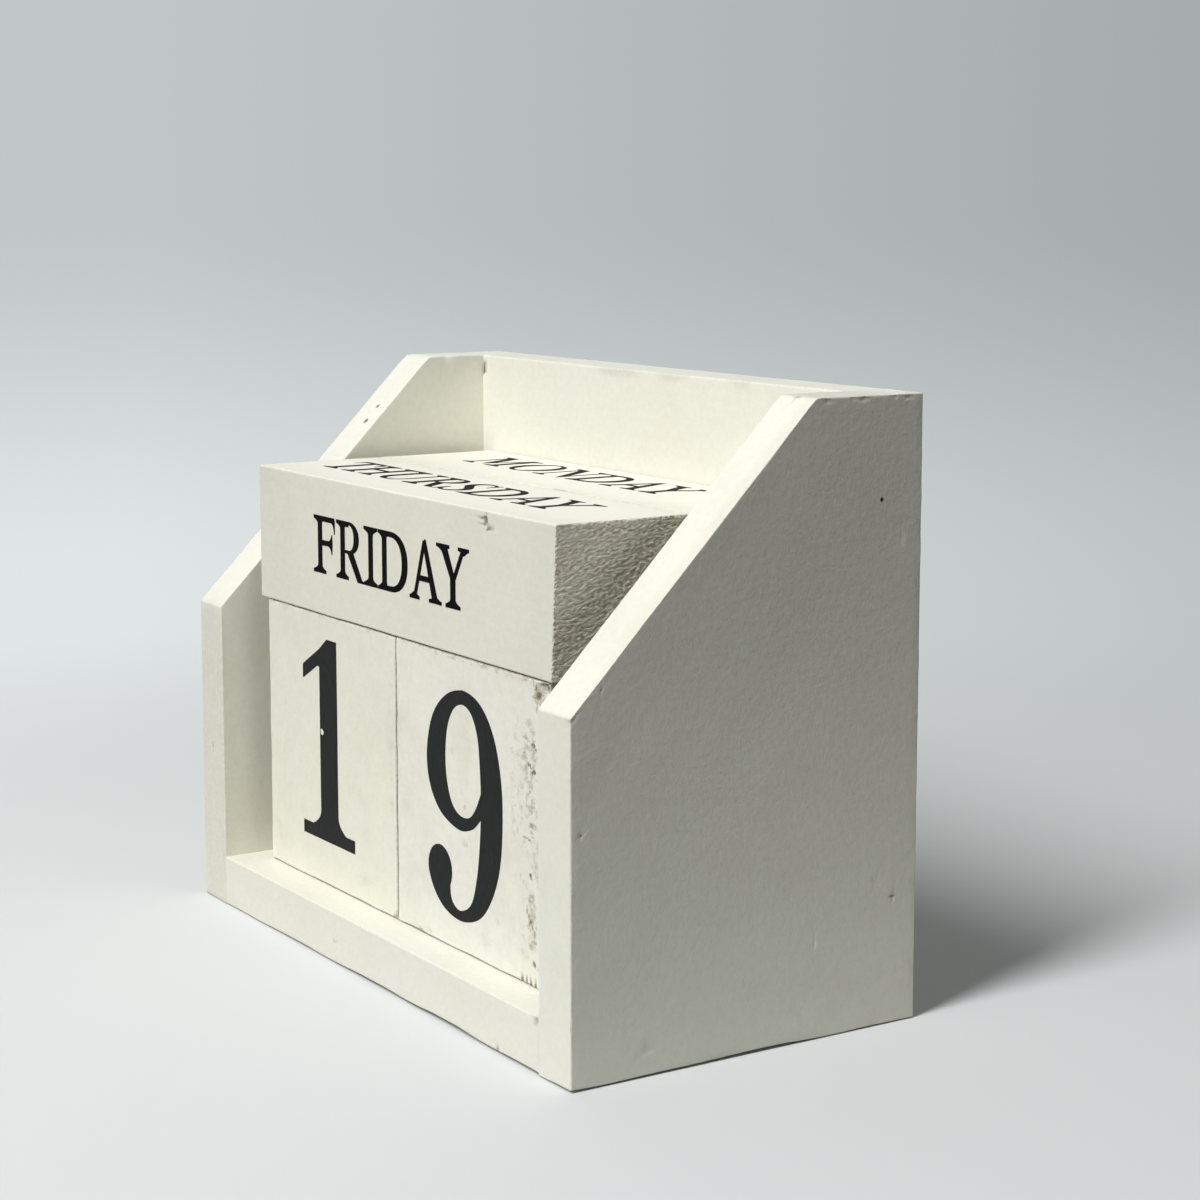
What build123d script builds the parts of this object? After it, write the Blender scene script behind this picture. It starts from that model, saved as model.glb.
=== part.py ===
from build123d import *
import os

# Desk calendar of painted wood: a pinned case of four boards with sloping arms, two number
# blocks side by side on its base, and two square weekday bars lying across them.
# X runs along the front, Y from front to back and Z up, in millimetres. The origin is the
# middle of the underside.

# Blocks and bars
block_size = 50.0       # edge of a number block
block_gap = 0.4         # between the two number blocks
block_easing = 0.6      # rounding of a block's edges
bar_size = 25.0         # side of a bar's square section
bar_gap = 0.2           # between the two bars
bar_overhang = 2.55     # a bar passes the pair of blocks by this much at each end
bar_easing = 0.6        # rounding of a bar's long edges
bar_end_slant = 1.4     # the right end is sawn out of square, short at the bottom

# Boards
side_thickness = 9.3
base_thickness = 9.3
back_thickness = 9.3
case_height = 103.0
arm_front_height = 57.4  # height of a side panel at its front edge
arm_top_depth = 21.5     # level stretch of a side panel's top, behind the slope
board_easing = 0.5       # rounding of the boards' free edges

# Clearances of the loose pieces in the case
left_slack = 3.3        # bar end to left side panel
right_slack = 5.6       # bar end to right side panel
rear_clearance = 0.2    # blocks and bars to back panel
front_recess = 7.1      # blocks' front face behind the case's front edge

# Panel pins
pin_radius = 0.45
pin_length = 20.0
pin_point = 1.2         # length of the tapered point
pin_blunt = 0.1         # radius left at the very tip
pin_set = 0.7           # punched below the surface
pin_fit = 0.02          # radial clearance in the holes
pin_tip_room = 0.3      # hole goes this much past the tip
side_pin_front = 12.0   # side panel's front base pin, from the case's front
side_pin_rear = 14.0    # side panel's rear base pin, ahead of the back panel
back_pin_inset = 8.2    # side panel's pins into the back panel, from the rear face
back_pin_high = 86.3    # heights of those pins
back_pin_low = 24.0
rear_pin_spacing = 42.0  # pins through the back panel into the base
rear_pin_count = 3

# Case outline
bar_length = 2 * block_size + block_gap + 2 * bar_overhang
inner_width = left_slack + bar_length + right_slack
case_width = inner_width + 2 * side_thickness
case_depth = front_recess + block_size + rear_clearance + back_thickness
inner_right = inner_width / 2
case_right = case_width / 2
case_rear = case_depth / 2
case_front = -case_rear
back_face = case_rear - back_thickness   # front face of the back panel
slope_top = case_rear - arm_top_depth

# Places of the loose pieces
bar_left = -inner_right + left_slack
row_middle = bar_left + bar_length / 2
stack_rear = back_face - rear_clearance
block_middle_y = stack_rear - block_size / 2
bar_bottom = base_thickness + block_size
bar_top = bar_bottom + bar_size

# Places of the pins
pin_hole_radius = pin_radius + pin_fit
base_pin_z = base_thickness / 2
base_pin_ys = [case_front + side_pin_front, back_face - side_pin_rear]
back_pin_zs = [back_pin_low, back_pin_high]
back_pin_y = case_rear - back_pin_inset
rear_pin_xs = [(i - (rear_pin_count - 1) / 2) * rear_pin_spacing for i in range(rear_pin_count)]


def heads_on_side(side):
    """Planes on a side panel's outer face, one for each of its pins, facing outwards."""
    outwards = (side, 0, 0)
    spots = [(y, base_pin_z) for y in base_pin_ys] + [(back_pin_y, z) for z in back_pin_zs]
    return [Plane((side * case_right, y, z), z_dir=outwards) for y, z in spots]


def heads_on_rear():
    """Planes on the back panel's rear face, one for each pin into the base."""
    return [Plane((x, case_rear, base_pin_z), z_dir=(0, 1, 0)) for x in rear_pin_xs]


def pin_depth():
    """Depth of a pin's hole below the face it is driven into."""
    return pin_set + pin_length + pin_tip_room


def finish(part, label):
    """Labels a finished piece and writes it under its own name."""
    part.label = label
    export_step(part, f"parts/{label}.step")


def side_panel(side, label):
    """Side panel, with its arm sloping down to the front. side is -1 for left, 1 for right."""
    inner = side * inner_right
    with BuildPart() as panel:
        with BuildSketch(Plane.YZ.offset(inner)):
            with BuildLine():
                Polyline(
                    (case_front, 0),
                    (case_front, arm_front_height),
                    (slope_top, case_height),
                    (case_rear, case_height),
                    (case_rear, 0),
                    close=True,
                )
            make_face()
        extrude(amount=side * side_thickness)
        faces_by_x = panel.faces().sort_by(Axis.X)
        outer_face = faces_by_x[-1] if side > 0 else faces_by_x[0]
        inner_face = faces_by_x[0] if side > 0 else faces_by_x[-1]
        # free edges: the whole outline outside, and inside the front, the slope and the top
        free_inside = inner_face.edges().filter_by(
            lambda edge: edge.center().Z > 0 and edge.center().Y < back_face
        )
        fillet(outer_face.edges() + free_inside, board_easing)
        # the foot stays square where the base butts against it
        with BuildSketch(Plane.YZ.offset(inner)):
            with Locations((case_front + board_easing, 0)):
                Rectangle(board_easing, base_thickness, align=(Align.MAX, Align.MIN))
        extrude(amount=side * board_easing)
        with Locations(*heads_on_side(side)):
            Hole(pin_hole_radius, depth=side_thickness)
    finish(panel.part, label)


def weekday_bar(front, label):
    """Square bar lying across the blocks, with its front face at the given Y."""
    with BuildPart() as bar:
        with BuildSketch(Plane.XZ.offset(-front)):
            with BuildLine():
                Polyline(
                    (bar_left, bar_bottom),
                    (bar_left + bar_length - bar_end_slant, bar_bottom),
                    (bar_left + bar_length, bar_top),
                    (bar_left, bar_top),
                    close=True,
                )
            make_face()
        extrude(amount=-bar_size)
        fillet(bar.edges().filter_by(Axis.X), bar_easing)
    finish(bar.part, label)


def number_block(side, label):
    """Number block standing on the base, on one side of the gap in the middle of the row."""
    middle = row_middle + side * (block_size + block_gap) / 2
    with BuildPart() as block:
        with Locations((middle, block_middle_y, base_thickness)):
            Box(block_size, block_size, block_size, align=(Align.CENTER, Align.CENTER, Align.MIN))
        fillet(block.edges(), block_easing)
    finish(block.part, label)


def panel_pins(heads, label):
    """Panel pins driven at the given planes, set below the surface, each a separate solid."""
    from_top = (Align.CENTER, Align.CENTER, Align.MAX)
    shank_length = pin_length - pin_point
    with BuildPart() as pins:
        with Locations(*[head.offset(-pin_set) for head in heads]):
            Cylinder(pin_radius, shank_length, align=from_top)
        with Locations(*[head.offset(-pin_set - shank_length) for head in heads]):
            Cone(pin_blunt, pin_radius, pin_point, align=from_top)
    finish(pins.part, label)


os.makedirs("parts", exist_ok=True)

with BuildPart() as base:
    with BuildSketch(Plane.XY):
        with Locations((0, case_front)):
            Rectangle(inner_width, back_face - case_front, align=(Align.CENTER, Align.MIN))
    extrude(amount=base_thickness)
    fillet(base.edges().filter_by(Axis.X).group_by(Axis.Y)[0], board_easing)
    with Locations(*[h for side in (-1, 1) for h in heads_on_side(side)[:2]], *heads_on_rear()):
        Hole(pin_hole_radius, depth=pin_depth())
finish(base.part, "base_board")

with BuildPart() as back:
    with BuildSketch(Plane.XZ.offset(-case_rear)):
        Rectangle(inner_width, case_height, align=(Align.CENTER, Align.MIN))
    extrude(amount=back_thickness)
    fillet(back.edges().filter_by(Axis.X).group_by(Axis.Z)[-1], board_easing)
    with Locations(*[h for side in (-1, 1) for h in heads_on_side(side)[2:]], *heads_on_rear()):
        Hole(pin_hole_radius, depth=pin_depth())
finish(back.part, "back_panel")

side_panel(-1, "left_side_panel")
side_panel(1, "right_side_panel")
panel_pins(heads_on_side(-1), "left_panel_pins")
panel_pins(heads_on_side(1), "right_panel_pins")
panel_pins(heads_on_rear(), "rear_panel_pins")

number_block(-1, "tens_block")
number_block(1, "units_block")
rear_bar_front = stack_rear - bar_size
weekday_bar(rear_bar_front - bar_gap - bar_size, "front_weekday_bar")
weekday_bar(rear_bar_front, "rear_weekday_bar")

print(f"case {case_width:.1f} x {case_depth:.1f} x {case_height:.1f} mm, bars {bar_length:.1f} mm long")
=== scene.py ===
import math

import bpy
import numpy as np
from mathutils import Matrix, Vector, geometry


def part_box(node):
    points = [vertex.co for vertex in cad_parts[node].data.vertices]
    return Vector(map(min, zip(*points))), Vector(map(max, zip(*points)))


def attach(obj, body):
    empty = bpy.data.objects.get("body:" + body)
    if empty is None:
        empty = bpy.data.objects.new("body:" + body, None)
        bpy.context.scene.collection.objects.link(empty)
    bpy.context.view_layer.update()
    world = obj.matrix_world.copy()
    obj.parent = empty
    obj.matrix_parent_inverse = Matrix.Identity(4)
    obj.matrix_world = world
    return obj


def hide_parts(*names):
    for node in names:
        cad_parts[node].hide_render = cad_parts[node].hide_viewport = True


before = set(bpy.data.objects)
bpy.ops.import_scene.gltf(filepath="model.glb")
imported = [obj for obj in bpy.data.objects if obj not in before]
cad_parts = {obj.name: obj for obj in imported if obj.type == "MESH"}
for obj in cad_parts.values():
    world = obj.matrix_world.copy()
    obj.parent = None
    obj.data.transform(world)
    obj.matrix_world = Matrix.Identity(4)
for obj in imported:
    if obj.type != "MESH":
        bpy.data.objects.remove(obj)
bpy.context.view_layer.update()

# Painted block calendar: the case's four boards, two number blocks and two weekday bars are
# remade here over their solids, with eased and chipped edges, filled pin holes, sawn ends and
# printed figures and weekday names.
mm = 0.001
print("frame loaded")


lattice = {
    "rounding": 6,  # lines across each rounded end
    "closest": 0.025 * mm,  # lines closer together than this are merged
}


def spacedLines(low, high, step, easing, fine=()):
    # even lines between the rounded ends, closer ones across them, and closer ones again
    # wherever fine asks, as (middle, half width, step)
    count = max(2, round((high - low - 2 * easing) / step))
    rounding = easing * np.linspace(0, 1, lattice["rounding"])
    parts = [low + rounding, np.linspace(low + easing, high - easing, count + 1), high - rounding]
    parts += [np.arange(middle - half, middle + half, gap) for middle, half, gap in fine]
    lines = np.unique(np.concatenate(parts).clip(low, high))
    keep = np.append(np.diff(lines) > lattice["closest"], True)
    keep[0] = True
    return lines[keep]


def boxSkin(xs, ys, zs):
    # the outside of a lattice of lines: every lattice point that lies on the box's surface,
    # and the quads between neighbours on its six sides, facing outwards
    shape = (len(xs), len(ys), len(zs))
    outside = np.zeros(shape, bool)
    for axis in range(3):
        for end in (0, -1):
            side = [slice(None)] * 3
            side[axis] = end
            outside[tuple(side)] = True
    number = np.zeros(shape, int)
    number[outside] = np.arange(outside.sum())
    points = np.stack(np.meshgrid(xs, ys, zs, indexing="ij"), -1)[outside]
    quads = []
    for axis in range(3):
        for end in (0, -1):
            a = np.take(number, end, axis)
            four = np.stack([a[:-1, :-1], a[1:, :-1], a[1:, 1:], a[:-1, 1:]], -1).reshape(-1, 4)
            turned = (end == 0) != (axis == 1)
            quads.append(four[:, ::-1] if turned else four)
    return points, np.concatenate(quads)


def easeEdges(points, low, high, radius):
    # rounded box: each point is pulled to the sphere of that radius round the nearest point
    # of the box shrunk by the radius; gives the new points, their normals and how far each
    # normal leans between two sides, from 0 on a flat to 1 on a 45 degree edge
    radius = radius[:, None] if np.ndim(radius) else radius
    core = np.clip(points, low + radius, high - radius)
    offset = points - core
    normals = offset / np.linalg.norm(offset, axis=1)[:, None]
    lean = (1 - np.abs(normals).max(1)) / (1 - math.sqrt(0.5))
    return core + normals * radius, normals, lean.clip(0, 1)


def easeSection(points, low, high, radius):
    # the same for a bar that runs along X and is rounded only round its section: the end's
    # points are drawn in along the rays of each corner, and face along X
    core = np.clip(points, low + radius, high - radius)
    core[:, 0] = points[:, 0]
    offset = points - core
    length = np.linalg.norm(offset, axis=1)
    reach = np.abs(offset).max(1)
    onSide = reach > 0.999 * radius
    length[length == 0] = 1
    normals = np.where(onSide[:, None], offset / length[:, None], np.sign(points * (1, 0, 0)))
    lean = (1 - np.abs(normals).max(1)) / (1 - math.sqrt(0.5))
    return core + offset * (reach / length)[:, None], normals, lean.clip(0, 1)


def waves(points, seed, size, count=20):
    # smooth random field of unit spread: a sum of cosines in random directions, whose
    # wavelengths lie round the given size, which may differ along the three axes
    rng = np.random.default_rng(seed)
    way = rng.normal(size=(count, 3))
    way *= 2 * math.pi * rng.uniform(0.6, 1.6, (count, 1)) / np.linalg.norm(way, axis=1)[:, None]
    way /= np.broadcast_to(size, 3)
    phase = rng.uniform(0, 2 * math.pi, count)
    return np.cos(points @ way.T + phase).sum(1) * math.sqrt(2 / count)


def smoothStep(value, low, high):
    t = ((value - low) / (high - low)).clip(0, 1)
    return t * t * (3 - 2 * t)


markLook = {
    "rim": (0.55, 1.1),  # a mark fades between these shares of its half sizes
    "holeRim": (0.8, 1.1),
    "holeFloor": (0.3, 0.8),
    "small": 3,  # half size in millimetres below which a mark's rim is ragged
    "ragged": 0.2,
    "raggedSize": 0.9 * mm,
    "finest": 2 * mm,  # half size below which a mark gets lines of its own
    "clear": 1.2 * mm,  # if it lies this far from the ends
    "beyond": 1.3,  # how far a hole's lines go, so that its rim stays crisp
}


def wearAndShade(points, marks, seed):
    # pits, stains and painted shade: each mark is (x, y, z, half sizes along x, y and z, depth,
    # stain), all in millimetres but the stain, which is real dirt on some marks and painted shade on
    # others, is negative where the paint is rubbed pale and where a painted highlight lies, and above
    # 1 in a hole. The rims of small marks are made ragged by warping the distance from the middle
    depth = np.zeros(len(points))
    stainAndShade = np.zeros(len(points))
    ragged = 1 + markLook["ragged"] * waves(points, seed, markLook["raggedSize"])
    for x, y, z, wide, long, tall, deep, dark in marks:
        hole = dark > 1
        away = np.linalg.norm((points / mm - (x, y, z)) / (wide, long, tall), axis=1)
        warp = ragged if max(wide, long, tall) < markLook["small"] and not hole else 1
        near = 1 - smoothStep(away * warp, *markLook["holeRim" if hole else "rim"])
        inner = 1 - smoothStep(away, *markLook["holeFloor"])
        depth = np.maximum(depth, deep * mm * (inner if hole else near))
        stainAndShade = np.where(np.abs(dark) * near > np.abs(stainAndShade), dark * near, stainAndShade)
    return depth, stainAndShade


def fineLines(marks, axis, low, high, flat=None):
    # closer lines across each small mark that doesn't lie on the rounding of that axis' ends;
    # flat turns a mark's place into the place that it has on the box before it is bent
    fine = []
    clear = markLook["clear"]
    for mark in marks:
        place = np.array(mark[:3]) * mm
        place = flat(place[None])[0] if flat else place
        half = mark[3 + axis] * mm
        reach = markLook["beyond"] * half if mark[7] > 1 else half
        if low + clear < place[axis] < high - clear and half < markLook["finest"]:
            fine.append((place[axis], reach, half / 2))
    return fine


def addObject(name, data, place=(0, 0, 0), way=None):
    # a mesh, camera or lamp at a place, the latter two looking along way
    added = bpy.data.objects.new(name, data)
    added.location = place
    if way is not None:
        added.rotation_mode = "QUATERNION"
        added.rotation_quaternion = Vector(way).to_track_quat("-Z", "Y")
    bpy.context.scene.collection.objects.link(added)
    return added


def makePiece(name, points, quads, values, material, body, node):
    mesh = bpy.data.meshes.new(name)
    mesh.from_pydata(points.tolist(), [], quads.tolist())
    mesh.polygons.foreach_set("use_smooth", np.ones(len(quads), bool))
    for key, value in values.items():
        layer = mesh.attributes.new(key, "FLOAT", "POINT")
        layer.data.foreach_set("value", value.astype(np.float32))
    mesh.materials.append(material)
    mesh.update()
    piece = addObject(name, mesh)
    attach(piece, body)
    if node:
        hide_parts(node)
    return piece


def newMaterial(name):
    # an empty material, its nodes and the object's coordinates in them
    material = bpy.data.materials.new(name)
    material.use_nodes = True
    tree = material.node_tree
    tree.nodes.clear()
    return material, tree, addNode(tree, "TexCoord").outputs["Object"]


def addNode(tree, kind, settings=None, **inputs):
    # a node with its own settings and its sockets given by name, or as i0, i1 by number: a
    # node or a socket as a value is linked, and anything else is set on the socket
    node = tree.nodes.new("ShaderNode" + kind)
    for key, value in (settings or {}).items():
        setattr(node, key, value)
    for key, value in inputs.items():
        socket = node.inputs[int(key[1:])] if key[1:].isdigit() else node.inputs[key.replace("_", " ")]
        if isinstance(value, bpy.types.Node):
            tree.links.new(value.outputs[0], socket)
        elif isinstance(value, bpy.types.NodeSocket):
            tree.links.new(value, socket)
        else:
            socket.default_value = value
    return node


def noise(tree, where, scale, detail=2.0, rough=0.5, warp=0.0):
    return addNode(
        tree, "TexNoise", Vector=where, Scale=scale, Detail=detail, Roughness=rough, Distortion=warp
    ).outputs[0]


def ramp(tree, value, low, high, start=0.0, end=1.0):
    # linear from start to end while the value goes from low to high, held beyond
    return addNode(tree, "MapRange", i0=value, i1=low, i2=high, i3=start, i4=end).outputs[0]


def mix(tree, share, first, second):
    return addNode(tree, "Mix", {"data_type": "RGBA"}, i0=share, i6=first, i7=second).outputs[2]


def reckon(tree, operation, first, second):
    return addNode(tree, "Math", {"operation": operation}, i0=first, i1=second).outputs[0]


def stretched(tree, coords, scale):
    return addNode(tree, "Mapping", {"vector_type": "POINT"}, Vector=coords, Scale=scale).outputs[0]


def bumpOn(tree, height, distance, under=None):
    extra = {"Normal": under} if under else {}
    return addNode(tree, "Bump", Height=height, Distance=distance, **extra).outputs[0]


def coat(tree, colour, roughness, normal, **inputs):
    look = {"Base_Color": colour, "Roughness": roughness, "Normal": normal, **inputs}
    addNode(tree, "OutputMaterial", Surface=addNode(tree, "BsdfPrincipled", **look))


paintLook = {
    "cream": (0.845, 0.84, 0.745, 1),
    "warm": (0.84, 0.825, 0.715, 1),
    "cool": (0.83, 0.835, 0.76, 1),
    "soilAndShade": (0.15, 0.115, 0.065, 1),
    "fleck": (0.56, 0.51, 0.37, 1),
    "rubbedAndLit": (0.91, 0.895, 0.80, 1),
    "worn": (0.60, 0.56, 0.44, 1),
    "hole": (0.004, 0.004, 0.004, 1),
    "handled": 0.10,  # darkening of the patches that hands have dulled
    "cloudy": 0.12,
    "sawnLight": (0.95, 0.935, 0.84, 1),
    "sawnDark": (0.735, 0.71, 0.60, 1),
    "sawnBrown": (0.64, 0.58, 0.42, 1),
    "roughness": (0.40, 0.56),
    "sheen": 0.4,
    "peel": 520.0,  # bumps in a metre of the rolled paint
    "peelHeight": 0.000018,
    "grit": 1150.0,  # finer ones on them
    "gritHeight": 0.000036,
    "streak": (30.0, 700.0, 700.0),
    "streakHeight": 0.00003,
    "fibreHeight": 0.00012,
    "fleckHeight": 0.00014,
}


def paintMaterial(name, look):
    # satin paint on wood: slow drift between a warm and a cool cream, fine mottling, brush
    # streaks along the boards and the small bumps of rolled paint. Stains and painted shade, rubbed
    # spots and painted highlights, worn edges and sawn ends are read from the mesh and broken up by
    # noise
    material, tree, coords = newMaterial(name)
    stainAndShade, edge, grain, scuff = [
        addNode(tree, "Attribute", {"attribute_name": key}).outputs["Fac"]
        for key in ("stainAndShade", "edge", "sawn", "scuff")
    ]
    drift = noise(tree, coords, 20.0, 3.0, 0.55)
    mottle = noise(tree, coords, 260.0, 4.0, 0.6)
    speck = noise(tree, coords, 1900.0, 2.0, 0.5)
    broken = noise(tree, coords, 1300.0, 3.0, 0.65)
    cloud = noise(tree, coords, 750.0, 4.0, 0.7)
    colour = mix(tree, ramp(tree, drift, 0.36, 0.64), look["warm"], look["cool"])
    colour = mix(tree, ramp(tree, mottle, 0.3, 0.7, 0.1, 0.9), colour, look["cream"])
    handled = noise(tree, coords, 95.0, 5.0, 0.62)
    colour = mix(tree, ramp(tree, handled, 0.48, 0.72, 0.0, look["handled"]), colour, look["worn"])
    colour = mix(tree, ramp(tree, cloud, 0.36, 0.60, look["cloudy"], 0.0), colour, look["worn"])
    colour = mix(tree, ramp(tree, speck, 0.66, 0.78, 0.0, 0.16), colour, look["worn"])
    # scuffed places: brown flecks that grow and run together as the scuffing gets heavier
    heavy = reckon(tree, "MULTIPLY", scuff, 0.17)
    fleck = reckon(tree, "ADD", noise(tree, coords, 620.0, 6.0, 0.74), heavy)
    fleck = ramp(tree, fleck, 0.58, 0.74)
    fleck = reckon(tree, "MULTIPLY", fleck, ramp(tree, scuff, 0.0, 0.5, 0.0, 0.85))
    colour = mix(tree, fleck, colour, look["fleck"])
    thin = reckon(tree, "MULTIPLY", edge, ramp(tree, broken, 0.46, 0.64, 0.0, 0.5))
    colour = mix(tree, thin, colour, look["worn"])
    # sawn ends: paler on the ridges of the grain and darker between them, partly thin paint over the
    # grain and partly painted shade in its hollows, and brown in patches
    sawn = ramp(tree, grain, 0.1, 0.4)
    soak = noise(tree, stretched(tree, coords, (60.0, 130.0, 160.0)), 1.0, 3.0, 0.6, 0.3)
    fibre = noise(tree, stretched(tree, coords, (1500.0, 1500.0, 3200.0)), 1.0, 3.0, 0.6, 0.8)
    valley = mix(tree, ramp(tree, soak, 0.44, 0.62), look["sawnDark"], look["sawnBrown"])
    sawnColour = mix(tree, ramp(tree, grain, 0.5, 1.0), valley, look["sawnLight"])
    sawnColour = mix(tree, ramp(tree, fibre, 0.35, 0.6, 0.3, 0.0), sawnColour, look["sawnDark"])
    colour = mix(tree, sawn, colour, sawnColour)
    # real stains and painted shade alike darken towards the soil brown
    dirtAndShade = reckon(tree, "MULTIPLY", stainAndShade, ramp(tree, broken, 0.3, 0.55, 0.45, 1.0))
    colour = mix(tree, ramp(tree, dirtAndShade, 0.0, 1.0), colour, look["soilAndShade"])
    # painted shade: marks above 1 turn black, for the inside of a hole
    colour = mix(tree, ramp(tree, stainAndShade, 1.05, 1.5), colour, look["hole"])
    # rubbed spots and painted highlights turn paler
    colour = mix(tree, ramp(tree, stainAndShade, 0.0, -1.0), colour, look["rubbedAndLit"])
    roughness = ramp(tree, mottle, 0.3, 0.7, *look["roughness"])
    roughness = reckon(tree, "ADD", roughness, reckon(tree, "MULTIPLY", sawn, 0.25))
    peel = noise(tree, coords, look["peel"], 3.0, 0.55)
    streak = noise(tree, stretched(tree, coords, look["streak"]), 1.0, 2.0, 0.5)
    normal = bumpOn(tree, peel, look["peelHeight"])
    normal = bumpOn(tree, noise(tree, coords, look["grit"], 2.0, 0.6), look["gritHeight"], normal)
    normal = bumpOn(tree, streak, look["streakHeight"], normal)
    normal = bumpOn(tree, reckon(tree, "MULTIPLY", sawn, fibre), look["fibreHeight"], normal)
    normal = bumpOn(tree, reckon(tree, "SUBTRACT", 1.0, fleck), look["fleckHeight"], normal)
    coat(tree, colour, roughness, normal, Specular_IOR_Level=look["sheen"])
    return material


inkLook = {
    "black": (0.007, 0.008, 0.008, 1),
    "faded": (0.018, 0.019, 0.019, 1),
    "roughness": (0.42, 0.6),
    "grainHeight": 0.00005,
    "sheen": 0.10,
}
nameLook = {
    "black": (0.003, 0.003, 0.003, 1),
    "faded": (0.008, 0.008, 0.008, 1),
    "sheen": 0.015,
}


def inkMaterial(name, look):
    # printed ink: near black, thinner in small patches, slightly grained
    material, tree, coords = newMaterial(name)
    patch = noise(tree, coords, 300.0, 4.0, 0.6)
    colour = mix(tree, ramp(tree, patch, 0.4, 0.7), look["black"], look["faded"])
    roughness = ramp(tree, patch, 0.3, 0.7, *look["roughness"])
    normal = bumpOn(tree, noise(tree, coords, 1500.0, 2.0, 0.5), look["grainHeight"])
    coat(tree, colour, roughness, normal, Specular_IOR_Level=look["sheen"])
    return material


pinLook = {
    "bright": (0.36, 0.34, 0.31, 1),
    "rust": (0.16, 0.09, 0.05, 1),
    "roughness": (0.4, 0.8),
    "spotHeight": 0.00003,
    "metal": 0.9,
}


def pinMaterial(name, look):
    # dulled steel with rust spots
    material, tree, coords = newMaterial(name)
    spot = noise(tree, coords, 1400.0, 4.0, 0.6)
    colour = mix(tree, ramp(tree, spot, 0.45, 0.65), look["bright"], look["rust"])
    roughness = ramp(tree, spot, 0.4, 0.7, *look["roughness"])
    coat(tree, colour, roughness, bumpOn(tree, spot, look["spotHeight"]), Metallic=look["metal"])
    return material


casePaint = paintMaterial("casePaint", paintLook)
upright = (700.0, 700.0, 60.0)
# painted light: the units block, standing further right in more light, gets a paler cream than the
# tens block
tensLook = {"cream": (0.875, 0.87, 0.75, 1), "warm": (0.86, 0.845, 0.705, 1), "streak": upright,
            "handled": 0.18}
unitsLook = {"cream": (0.90, 0.895, 0.80, 1), "warm": (0.88, 0.865, 0.75, 1), "streak": upright,
             "handled": 0.24, "cloudy": 0.16}
barLook = {
    "cream": (0.835, 0.83, 0.715, 1),
    "warm": (0.825, 0.81, 0.68, 1),
    "cool": (0.835, 0.835, 0.745, 1),
}
tensPaint = paintMaterial("tensPaint", {**paintLook, **tensLook})
unitsPaint = paintMaterial("unitsPaint", {**paintLook, **unitsLook})
barPaint = paintMaterial("barPaint", {**paintLook, **barLook})
figureInk = inkMaterial("figureInk", inkLook)
nameInk = inkMaterial("nameInk", {**inkLook, **nameLook})
pinSteel = pinMaterial("pinSteel", pinLook)
print("finishes made")


caseLook = {
    "step": 1.5 * mm,
    "easing": 0.32 * mm,  # rounding of the free edges
    "joint": 0.08 * mm,  # rounding left where one board butts on another
    "waver": 0.035 * mm,  # unevenness of the painted faces
    "waverSize": 20 * mm,
    "nick": 0.14 * mm,  # depth of the small chips along free edges
    "nickSize": 2.6 * mm,
    "nicked": (1.9, 2.8),  # strength of a wave where a chip starts and where it is full
    "lift": 0.90 * mm,  # most that the uneven underside stands off what it rests on
    "tilt": (-30 * mm, 130 * mm),  # it does so at the front right, and stands at the rear left
    "band": (3 * mm, 1 * mm),  # from an edge: where its rounding starts, and where it is full
    "endBand": (0.9 * mm, 0.3 * mm),  # the same where a rounding fades at a joint
}
footLook = {"touching": 0.8, "uneven": 0.25, "size": 22 * mm, "height": 2 * mm}

baseLow, baseHigh = (np.array(corner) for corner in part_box("base_board"))
backLow, backHigh = (np.array(corner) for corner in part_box("back_panel"))
armLow, armHigh = (np.array(corner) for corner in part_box("right_side_panel"))


def liftFoot(points, low, seed, lift):
    # the underside is uneven and touches only in places, so a thin dark gap shows below it
    uneven = footLook["uneven"] * waves(points * (1, 1, 0), seed, footLook["size"])
    near = (1 - (points[:, 2] - low[2]) / footLook["height"]).clip(0, 1)
    points[:, 2] += lift * (footLook["touching"] + uneven).clip(0, 1) * near


def weather(points, seed, look):
    # how far the paint lies under the box, and how chipped it would be on an edge
    slow = look["waver"] * (0.5 + 0.25 * waves(points, seed, look["waverSize"])).clip(0, 1)
    return slow, smoothStep(waves(points, seed + 1, look["nickSize"], 30), *look["nicked"])


def makeBoard(name, node, seed, easing, marks=(), bend=None, flat=None, look=caseLook,
              material=casePaint, body="case", scuffs=()):
    # a board as a rounded box over its solid's corners: easing gives the rounding at each
    # point, and bend, with flat as its inverse, carries the finished box to the board's shape
    low, high = (np.array(corner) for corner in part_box(node))
    lines = [
        spacedLines(low[i], high[i], look["step"], look["easing"],
                    fineLines(marks, i, low[i], high[i], flat))
        for i in range(3)
    ]
    raw, quads = boxSkin(*lines)
    radius = easing(raw)
    points, normals, lean = easeEdges(raw, low, high, radius)
    free = smoothStep(radius, look["joint"], look["easing"])
    slow, chip = weather(points, seed, look)
    nick = chip * lean * free
    points = points - normals * (slow + look["nick"] * nick)[:, None]
    tilt = smoothStep(points @ (1, -2, 0), *look["tilt"])
    liftFoot(points, low, seed + 3, look["lift"] * tilt)
    if bend:
        points = bend(points)
    pit, stainAndShade = wearAndShade(points, marks, seed + 2)
    points = points - normals * pit[:, None]
    stainAndShade = np.where(stainAndShade == 0, 0.5 * nick, stainAndShade)
    scuff = wearAndShade(points, scuffs, seed)[1]
    values = {"stainAndShade": stainAndShade, "edge": lean * (0.3 + 0.7 * free), "scuff": scuff}
    makePiece(name, points, quads, values, material, body, node)


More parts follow.
